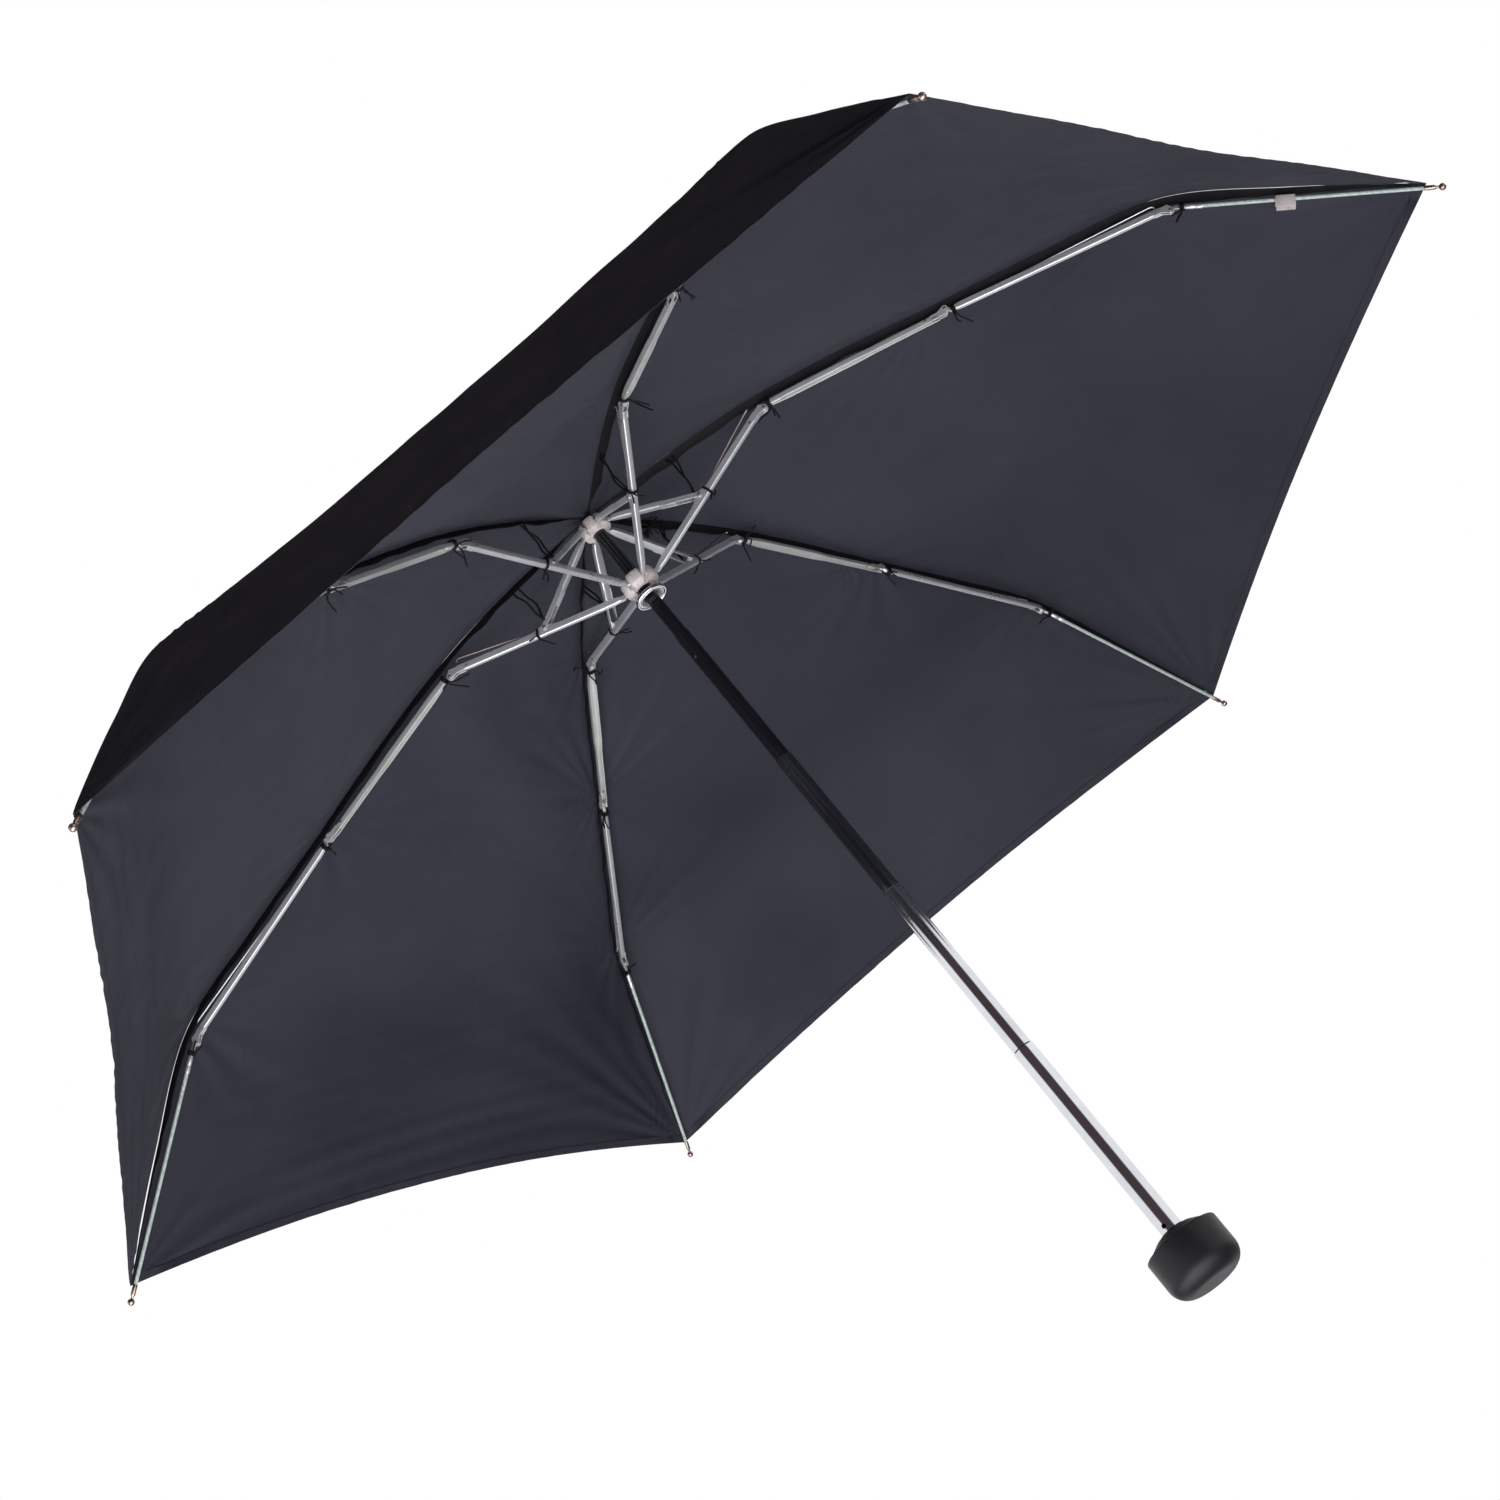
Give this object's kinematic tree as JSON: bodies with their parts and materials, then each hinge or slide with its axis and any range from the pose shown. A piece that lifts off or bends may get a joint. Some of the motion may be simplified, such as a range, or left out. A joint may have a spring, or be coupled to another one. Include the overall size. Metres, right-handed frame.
{
  "type": "folding umbrella",
  "caption": "Compact folding umbrella, open: a faceted canopy on folding ribs over a telescoping shaft with a stubby round handle.",
  "frame": {"origin": "centre of the handle's flat end", "axes": "+Z along the shaft from the handle to the crown; +X along the first rib, the others every 60 degrees anticlockwise seen from above"},
  "size_m": [0.8946, 0.7754, 0.5412],
  "materials": {
    "cloth": "woven polyester, slightly sheeny",
    "black_tube": "gloss black",
    "dark_chrome": "dark bright plating",
    "chrome": "bright",
    "steel": "bright zinc",
    "channel_grey": "satin light grey",
    "copper": "coppery",
    "fibreglass": "pale green white",
    "clear_plastic": "milky translucent",
    "black_plastic": "satin black",
    "soft_black": "soft-touch matte black"
  },
  "bodies": {
    "handle": {"handle_grip": "soft_black", "handle_core": "black_plastic", "shaft_tube_5": "chrome"},
    "tube_4": {"shaft_tube_4": "chrome"},
    "lower_catch": {"lower_catch": "copper"},
    "tube_3": {"shaft_tube_3": "dark_chrome"},
    "tube_2": {"shaft_tube_2": "black_tube"},
    "upper_catch": {"upper_catch": "copper"},
    "crown": {"shaft_tube_1": "black_tube", "crown_hub": "clear_plastic", "crown_wire": "steel", "crown_cap": "black_plastic", "canopy": "cloth"},
    "runner": {"runner_hub": "clear_plastic", "runner_wire": "steel", "runner_ring": "chrome"},
    "top_link_1": {"top_link_1": "steel"},
    "stretcher_1": {"stretcher_1": "steel"},
    "rib_section_2_1": {"rib_section_2_1": "channel_grey"},
    "rib_section_3_1": {"rib_section_3_1": "steel"},
    "tip_rod_1": {"tip_rod_1": "fibreglass"},
    "stretcher_wire_1": {"stretcher_wire_1": "copper"},
    "section_wire_1": {"section_wire_1": "steel"},
    "top_link_2": {"top_link_2": "steel"},
    "stretcher_2": {"stretcher_2": "steel"},
    "rib_section_2_2": {"rib_section_2_2": "channel_grey"},
    "rib_section_3_2": {"rib_section_3_2": "steel"},
    "tip_rod_2": {"tip_rod_2": "fibreglass", "rod_clip": "clear_plastic"},
    "stretcher_wire_2": {"stretcher_wire_2": "copper"},
    "section_wire_2": {"section_wire_2": "steel"},
    "top_link_3": {"top_link_3": "steel"},
    "stretcher_3": {"stretcher_3": "steel"},
    "rib_section_2_3": {"rib_section_2_3": "channel_grey"},
    "rib_section_3_3": {"rib_section_3_3": "steel"},
    "tip_rod_3": {"tip_rod_3": "fibreglass"},
    "stretcher_wire_3": {"stretcher_wire_3": "copper"},
    "section_wire_3": {"section_wire_3": "steel"},
    "top_link_4": {"top_link_4": "steel"},
    "stretcher_4": {"stretcher_4": "steel"},
    "rib_section_2_4": {"rib_section_2_4": "channel_grey"},
    "rib_section_3_4": {"rib_section_3_4": "steel"},
    "tip_rod_4": {"tip_rod_4": "fibreglass"},
    "stretcher_wire_4": {"stretcher_wire_4": "copper"},
    "section_wire_4": {"section_wire_4": "steel"},
    "top_link_5": {"top_link_5": "steel"},
    "stretcher_5": {"stretcher_5": "steel"},
    "rib_section_2_5": {"rib_section_2_5": "channel_grey"},
    "rib_section_3_5": {"rib_section_3_5": "steel"},
    "tip_rod_5": {"tip_rod_5": "fibreglass"},
    "stretcher_wire_5": {"stretcher_wire_5": "copper"},
    "section_wire_5": {"section_wire_5": "steel"},
    "top_link_6": {"top_link_6": "steel"},
    "stretcher_6": {"stretcher_6": "steel"},
    "rib_section_2_6": {"rib_section_2_6": "channel_grey"},
    "rib_section_3_6": {"rib_section_3_6": "steel"},
    "tip_rod_6": {"tip_rod_6": "fibreglass"},
    "stretcher_wire_6": {"stretcher_wire_6": "copper"},
    "section_wire_6": {"section_wire_6": "steel"}
  },
  "joints": [
    {"name": "shaft_slide_4", "type": "slide", "parent": "handle", "child": "tube_4", "axis": [0, 0, -1], "range_m": [0, 0.104]},
    {"name": "shaft_slide_3", "type": "slide", "parent": "tube_4", "child": "tube_3", "axis": [0, 0, -1], "range_m": [0, 0.091]},
    {"name": "shaft_slide_2", "type": "slide", "parent": "tube_3", "child": "tube_2", "axis": [0, 0, -1], "range_m": [0, 0.091]},
    {"name": "shaft_slide_1", "type": "slide", "parent": "tube_2", "child": "crown", "axis": [0, 0, -1], "range_m": [0, 0.076]},
    {"name": "runner_slide", "type": "slide", "parent": "crown", "child": "runner", "axis": [0, 0, -1], "range_m": [0, 0.05994], "deforming": ["canopy"]},
    {"name": "upper_catch_press", "type": "slide", "parent": "tube_2", "child": "upper_catch", "axis": [-0.5299, 0.848, 0], "range_m": [0, 0.0003], "stiffness_N_per_m": 500},
    {"name": "lower_catch_press", "type": "slide", "parent": "tube_4", "child": "lower_catch", "axis": [-0.5299, 0.848, 0], "range_m": [0, 0.0003], "stiffness_N_per_m": 500},
    {"name": "top_link_1_hinge", "type": "hinge", "parent": "crown", "child": "top_link_1", "pos_m": [0.0072, 0, 0.5237], "axis": [0, 1, 0], "range_deg": [0, 59.78]},
    {"name": "stretcher_1_hinge", "type": "hinge", "parent": "runner", "child": "stretcher_1", "pos_m": [0.0088, 0, 0.48], "axis": [0, -1, 0], "range_deg": [0, 70.81]},
    {"name": "rib_section_2_1_hinge", "type": "hinge", "parent": "stretcher_1", "child": "rib_section_2_1", "pos_m": [0.1116, 0, 0.512], "axis": [0, 1, 0], "range_deg": [0, 145.15]},
    {"name": "rib_section_3_1_hinge", "type": "hinge", "parent": "rib_section_2_1", "child": "rib_section_3_1", "pos_m": [0.2184, 0, 0.486], "axis": [0, -1, 0], "range_deg": [0, 182.2]},
    {"name": "tip_rod_1_hinge", "type": "hinge", "parent": "rib_section_3_1", "child": "tip_rod_1", "pos_m": [0.3396, 0, 0.443], "axis": [0, 1, 0], "range_deg": [0, 156.44]},
    {"name": "stretcher_wire_1_hinge", "type": "hinge", "parent": "stretcher_1", "child": "stretcher_wire_1", "pos_m": [0.05865, 0, 0.498], "axis": [0, 1, 0], "range_deg": [0, 6.95]},
    {"name": "section_wire_1_hinge", "type": "hinge", "parent": "rib_section_3_1", "child": "section_wire_1", "pos_m": [0.23047, 0, 0.48107], "axis": [0, 1, 0], "range_deg": [0, 2.45]},
    {"name": "top_link_2_hinge", "type": "hinge", "parent": "crown", "child": "top_link_2", "pos_m": [0.0036, 0.00624, 0.5237], "axis": [-0.866, 0.5, 0], "range_deg": [0, 59.78]},
    {"name": "stretcher_2_hinge", "type": "hinge", "parent": "runner", "child": "stretcher_2", "pos_m": [0.0044, 0.00762, 0.48], "axis": [0.866, -0.5, 0], "range_deg": [0, 70.81]},
    {"name": "rib_section_2_2_hinge", "type": "hinge", "parent": "stretcher_2", "child": "rib_section_2_2", "pos_m": [0.0558, 0.09665, 0.512], "axis": [-0.866, 0.5, 0], "range_deg": [0, 145.15]},
    {"name": "rib_section_3_2_hinge", "type": "hinge", "parent": "rib_section_2_2", "child": "rib_section_3_2", "pos_m": [0.1092, 0.18914, 0.486], "axis": [0.866, -0.5, 0], "range_deg": [0, 182.2]},
    {"name": "tip_rod_2_hinge", "type": "hinge", "parent": "rib_section_3_2", "child": "tip_rod_2", "pos_m": [0.1698, 0.2941, 0.443], "axis": [-0.866, 0.5, 0], "range_deg": [0, 156.44]},
    {"name": "stretcher_wire_2_hinge", "type": "hinge", "parent": "stretcher_2", "child": "stretcher_wire_2", "pos_m": [0.02933, 0.05079, 0.498], "axis": [-0.866, 0.5, 0], "range_deg": [0, 6.95]},
    {"name": "section_wire_2_hinge", "type": "hinge", "parent": "rib_section_3_2", "child": "section_wire_2", "pos_m": [0.11523, 0.19959, 0.48107], "axis": [-0.866, 0.5, 0], "range_deg": [0, 2.45]},
    {"name": "top_link_3_hinge", "type": "hinge", "parent": "crown", "child": "top_link_3", "pos_m": [-0.0036, 0.00624, 0.5237], "axis": [-0.866, -0.5, 0], "range_deg": [0, 59.78]},
    {"name": "stretcher_3_hinge", "type": "hinge", "parent": "runner", "child": "stretcher_3", "pos_m": [-0.0044, 0.00762, 0.48], "axis": [0.866, 0.5, 0], "range_deg": [0, 70.81]},
    {"name": "rib_section_2_3_hinge", "type": "hinge", "parent": "stretcher_3", "child": "rib_section_2_3", "pos_m": [-0.0558, 0.09665, 0.512], "axis": [-0.866, -0.5, 0], "range_deg": [0, 145.15]},
    {"name": "rib_section_3_3_hinge", "type": "hinge", "parent": "rib_section_2_3", "child": "rib_section_3_3", "pos_m": [-0.1092, 0.18914, 0.486], "axis": [0.866, 0.5, 0], "range_deg": [0, 182.2]},
    {"name": "tip_rod_3_hinge", "type": "hinge", "parent": "rib_section_3_3", "child": "tip_rod_3", "pos_m": [-0.1698, 0.2941, 0.443], "axis": [-0.866, -0.5, 0], "range_deg": [0, 156.44]},
    {"name": "stretcher_wire_3_hinge", "type": "hinge", "parent": "stretcher_3", "child": "stretcher_wire_3", "pos_m": [-0.02933, 0.05079, 0.498], "axis": [-0.866, -0.5, 0], "range_deg": [0, 6.95]},
    {"name": "section_wire_3_hinge", "type": "hinge", "parent": "rib_section_3_3", "child": "section_wire_3", "pos_m": [-0.11523, 0.19959, 0.48107], "axis": [-0.866, -0.5, 0], "range_deg": [0, 2.45]},
    {"name": "top_link_4_hinge", "type": "hinge", "parent": "crown", "child": "top_link_4", "pos_m": [-0.0072, 0, 0.5237], "axis": [0, -1, 0], "range_deg": [0, 59.78]},
    {"name": "stretcher_4_hinge", "type": "hinge", "parent": "runner", "child": "stretcher_4", "pos_m": [-0.0088, 0, 0.48], "axis": [0, 1, 0], "range_deg": [0, 70.81]},
    {"name": "rib_section_2_4_hinge", "type": "hinge", "parent": "stretcher_4", "child": "rib_section_2_4", "pos_m": [-0.1116, 0, 0.512], "axis": [0, -1, 0], "range_deg": [0, 145.15]},
    {"name": "rib_section_3_4_hinge", "type": "hinge", "parent": "rib_section_2_4", "child": "rib_section_3_4", "pos_m": [-0.2184, 0, 0.486], "axis": [0, 1, 0], "range_deg": [0, 182.2]},
    {"name": "tip_rod_4_hinge", "type": "hinge", "parent": "rib_section_3_4", "child": "tip_rod_4", "pos_m": [-0.3396, 0, 0.443], "axis": [0, -1, 0], "range_deg": [0, 156.44]},
    {"name": "stretcher_wire_4_hinge", "type": "hinge", "parent": "stretcher_4", "child": "stretcher_wire_4", "pos_m": [-0.05865, 0, 0.498], "axis": [0, -1, 0], "range_deg": [0, 6.95]},
    {"name": "section_wire_4_hinge", "type": "hinge", "parent": "rib_section_3_4", "child": "section_wire_4", "pos_m": [-0.23047, 0, 0.48107], "axis": [0, -1, 0], "range_deg": [0, 2.45]},
    {"name": "top_link_5_hinge", "type": "hinge", "parent": "crown", "child": "top_link_5", "pos_m": [-0.0036, -0.00624, 0.5237], "axis": [0.866, -0.5, 0], "range_deg": [0, 59.78]},
    {"name": "stretcher_5_hinge", "type": "hinge", "parent": "runner", "child": "stretcher_5", "pos_m": [-0.0044, -0.00762, 0.48], "axis": [-0.866, 0.5, 0], "range_deg": [0, 70.81]},
    {"name": "rib_section_2_5_hinge", "type": "hinge", "parent": "stretcher_5", "child": "rib_section_2_5", "pos_m": [-0.0558, -0.09665, 0.512], "axis": [0.866, -0.5, 0], "range_deg": [0, 145.15]},
    {"name": "rib_section_3_5_hinge", "type": "hinge", "parent": "rib_section_2_5", "child": "rib_section_3_5", "pos_m": [-0.1092, -0.18914, 0.486], "axis": [-0.866, 0.5, 0], "range_deg": [0, 182.2]},
    {"name": "tip_rod_5_hinge", "type": "hinge", "parent": "rib_section_3_5", "child": "tip_rod_5", "pos_m": [-0.1698, -0.2941, 0.443], "axis": [0.866, -0.5, 0], "range_deg": [0, 156.44]},
    {"name": "stretcher_wire_5_hinge", "type": "hinge", "parent": "stretcher_5", "child": "stretcher_wire_5", "pos_m": [-0.02933, -0.05079, 0.498], "axis": [0.866, -0.5, 0], "range_deg": [0, 6.95]},
    {"name": "section_wire_5_hinge", "type": "hinge", "parent": "rib_section_3_5", "child": "section_wire_5", "pos_m": [-0.11523, -0.19959, 0.48107], "axis": [0.866, -0.5, 0], "range_deg": [0, 2.45]},
    {"name": "top_link_6_hinge", "type": "hinge", "parent": "crown", "child": "top_link_6", "pos_m": [0.0036, -0.00624, 0.5237], "axis": [0.866, 0.5, 0], "range_deg": [0, 59.78]},
    {"name": "stretcher_6_hinge", "type": "hinge", "parent": "runner", "child": "stretcher_6", "pos_m": [0.0044, -0.00762, 0.48], "axis": [-0.866, -0.5, 0], "range_deg": [0, 70.81]},
    {"name": "rib_section_2_6_hinge", "type": "hinge", "parent": "stretcher_6", "child": "rib_section_2_6", "pos_m": [0.0558, -0.09665, 0.512], "axis": [0.866, 0.5, 0], "range_deg": [0, 145.15]},
    {"name": "rib_section_3_6_hinge", "type": "hinge", "parent": "rib_section_2_6", "child": "rib_section_3_6", "pos_m": [0.1092, -0.18914, 0.486], "axis": [-0.866, -0.5, 0], "range_deg": [0, 182.2]},
    {"name": "tip_rod_6_hinge", "type": "hinge", "parent": "rib_section_3_6", "child": "tip_rod_6", "pos_m": [0.1698, -0.2941, 0.443], "axis": [0.866, 0.5, 0], "range_deg": [0, 156.44]},
    {"name": "stretcher_wire_6_hinge", "type": "hinge", "parent": "stretcher_6", "child": "stretcher_wire_6", "pos_m": [0.02933, -0.05079, 0.498], "axis": [0.866, 0.5, 0], "range_deg": [0, 6.95]},
    {"name": "section_wire_6_hinge", "type": "hinge", "parent": "rib_section_3_6", "child": "section_wire_6", "pos_m": [0.11523, -0.19959, 0.48107], "axis": [0.866, 0.5, 0], "range_deg": [0, 2.45]}
  ],
  "couplings": [
    {"joint": "shaft_slide_3", "follows": "shaft_slide_4", "ratio": 0.875},
    {"joint": "shaft_slide_2", "follows": "shaft_slide_4", "ratio": 0.875},
    {"joint": "shaft_slide_1", "follows": "shaft_slide_4", "ratio": 0.73077},
    {"joint": "top_link_1_hinge", "follows": "runner_slide", "rad_per_m": 17.402},
    {"joint": "stretcher_1_hinge", "follows": "runner_slide", "rad_per_m": 20.614},
    {"joint": "rib_section_2_1_hinge", "follows": "runner_slide", "rad_per_m": 42.259},
    {"joint": "rib_section_3_1_hinge", "follows": "runner_slide", "rad_per_m": 53.046},
    {"joint": "tip_rod_1_hinge", "follows": "runner_slide", "rad_per_m": 45.545},
    {"joint": "stretcher_wire_1_hinge", "follows": "runner_slide", "rad_per_m": 2.0181},
    {"joint": "section_wire_1_hinge", "follows": "runner_slide", "rad_per_m": 0.70669},
    {"joint": "top_link_2_hinge", "follows": "runner_slide", "rad_per_m": 17.402},
    {"joint": "stretcher_2_hinge", "follows": "runner_slide", "rad_per_m": 20.614},
    {"joint": "rib_section_2_2_hinge", "follows": "runner_slide", "rad_per_m": 42.259},
    {"joint": "rib_section_3_2_hinge", "follows": "runner_slide", "rad_per_m": 53.046},
    {"joint": "tip_rod_2_hinge", "follows": "runner_slide", "rad_per_m": 45.545},
    {"joint": "stretcher_wire_2_hinge", "follows": "runner_slide", "rad_per_m": 2.0181},
    {"joint": "section_wire_2_hinge", "follows": "runner_slide", "rad_per_m": 0.70669},
    {"joint": "top_link_3_hinge", "follows": "runner_slide", "rad_per_m": 17.402},
    {"joint": "stretcher_3_hinge", "follows": "runner_slide", "rad_per_m": 20.614},
    {"joint": "rib_section_2_3_hinge", "follows": "runner_slide", "rad_per_m": 42.259},
    {"joint": "rib_section_3_3_hinge", "follows": "runner_slide", "rad_per_m": 53.046},
    {"joint": "tip_rod_3_hinge", "follows": "runner_slide", "rad_per_m": 45.545},
    {"joint": "stretcher_wire_3_hinge", "follows": "runner_slide", "rad_per_m": 2.0181},
    {"joint": "section_wire_3_hinge", "follows": "runner_slide", "rad_per_m": 0.70669},
    {"joint": "top_link_4_hinge", "follows": "runner_slide", "rad_per_m": 17.402},
    {"joint": "stretcher_4_hinge", "follows": "runner_slide", "rad_per_m": 20.614},
    {"joint": "rib_section_2_4_hinge", "follows": "runner_slide", "rad_per_m": 42.259},
    {"joint": "rib_section_3_4_hinge", "follows": "runner_slide", "rad_per_m": 53.046},
    {"joint": "tip_rod_4_hinge", "follows": "runner_slide", "rad_per_m": 45.545},
    {"joint": "stretcher_wire_4_hinge", "follows": "runner_slide", "rad_per_m": 2.0181},
    {"joint": "section_wire_4_hinge", "follows": "runner_slide", "rad_per_m": 0.70669},
    {"joint": "top_link_5_hinge", "follows": "runner_slide", "rad_per_m": 17.402},
    {"joint": "stretcher_5_hinge", "follows": "runner_slide", "rad_per_m": 20.614},
    {"joint": "rib_section_2_5_hinge", "follows": "runner_slide", "rad_per_m": 42.259},
    {"joint": "rib_section_3_5_hinge", "follows": "runner_slide", "rad_per_m": 53.046},
    {"joint": "tip_rod_5_hinge", "follows": "runner_slide", "rad_per_m": 45.545},
    {"joint": "stretcher_wire_5_hinge", "follows": "runner_slide", "rad_per_m": 2.0181},
    {"joint": "section_wire_5_hinge", "follows": "runner_slide", "rad_per_m": 0.70669},
    {"joint": "top_link_6_hinge", "follows": "runner_slide", "rad_per_m": 17.402},
    {"joint": "stretcher_6_hinge", "follows": "runner_slide", "rad_per_m": 20.614},
    {"joint": "rib_section_2_6_hinge", "follows": "runner_slide", "rad_per_m": 42.259},
    {"joint": "rib_section_3_6_hinge", "follows": "runner_slide", "rad_per_m": 53.046},
    {"joint": "tip_rod_6_hinge", "follows": "runner_slide", "rad_per_m": 45.545},
    {"joint": "stretcher_wire_6_hinge", "follows": "runner_slide", "rad_per_m": 2.0181},
    {"joint": "section_wire_6_hinge", "follows": "runner_slide", "rad_per_m": 0.70669}
  ]
}
